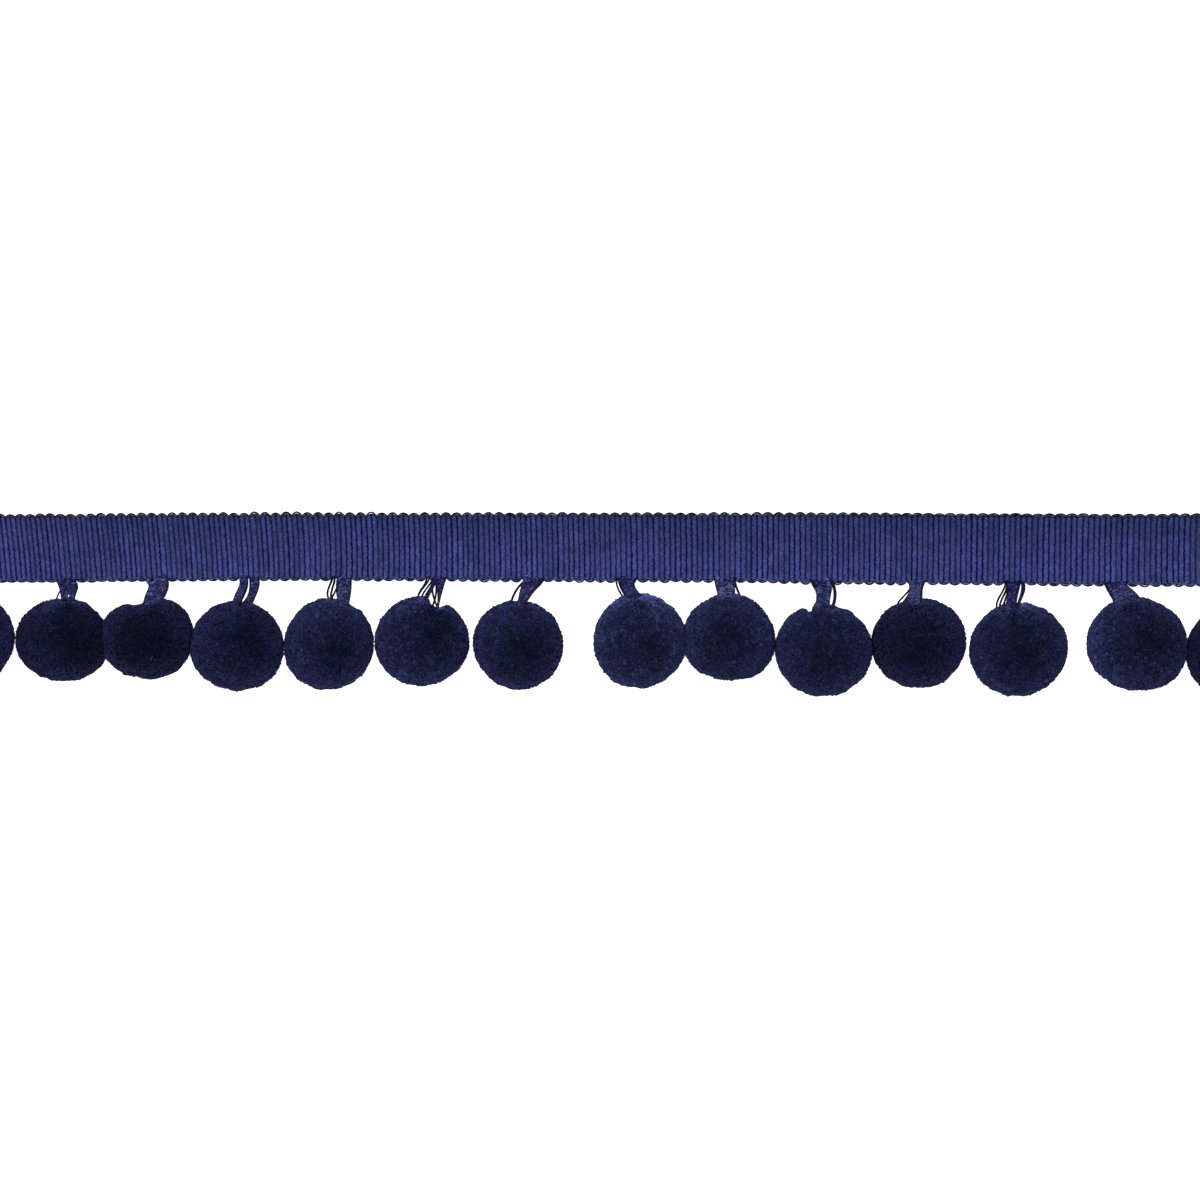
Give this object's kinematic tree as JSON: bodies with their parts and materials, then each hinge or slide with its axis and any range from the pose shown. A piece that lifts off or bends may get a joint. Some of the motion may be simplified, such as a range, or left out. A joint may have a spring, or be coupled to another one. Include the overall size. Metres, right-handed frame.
{
  "type": "ball fringe",
  "caption": "Length of ribbed woven trim lying flat, with a row of round cut-pile pompoms hanging from short cord stems along its lower edge.",
  "frame": {"origin": "middle of the heading's flat back, where it is sewn or glued on and where it rests", "axes": "+X along the heading, +Y across it away from the pompoms, +Z out of its face"},
  "size_m": [0.3843, 0.053, 0.0274],
  "materials": {
    "heading": "soft sheen",
    "stems": "soft sheen",
    "pile": "matte"
  },
  "bodies": {
    "root": {"heading": "heading", "pompom_01": "pile", "pompom_02": "pile", "pompom_03": "pile", "pompom_04": "pile", "pompom_05": "pile", "pompom_06": "pile", "pompom_07": "pile", "pompom_08": "pile", "pompom_09": "pile", "pompom_10": "pile", "pompom_11": "pile", "pompom_12": "pile", "pompom_13": "pile", "pompom_14": "pile", "stem_01": "stems", "stem_02": "stems", "stem_03": "stems", "stem_04": "stems", "stem_05": "stems", "stem_06": "stems", "stem_07": "stems", "stem_08": "stems", "stem_09": "stems", "stem_10": "stems", "stem_11": "stems", "stem_12": "stems", "stem_13": "stems", "stem_14": "stems"}
  },
  "joints": []
}
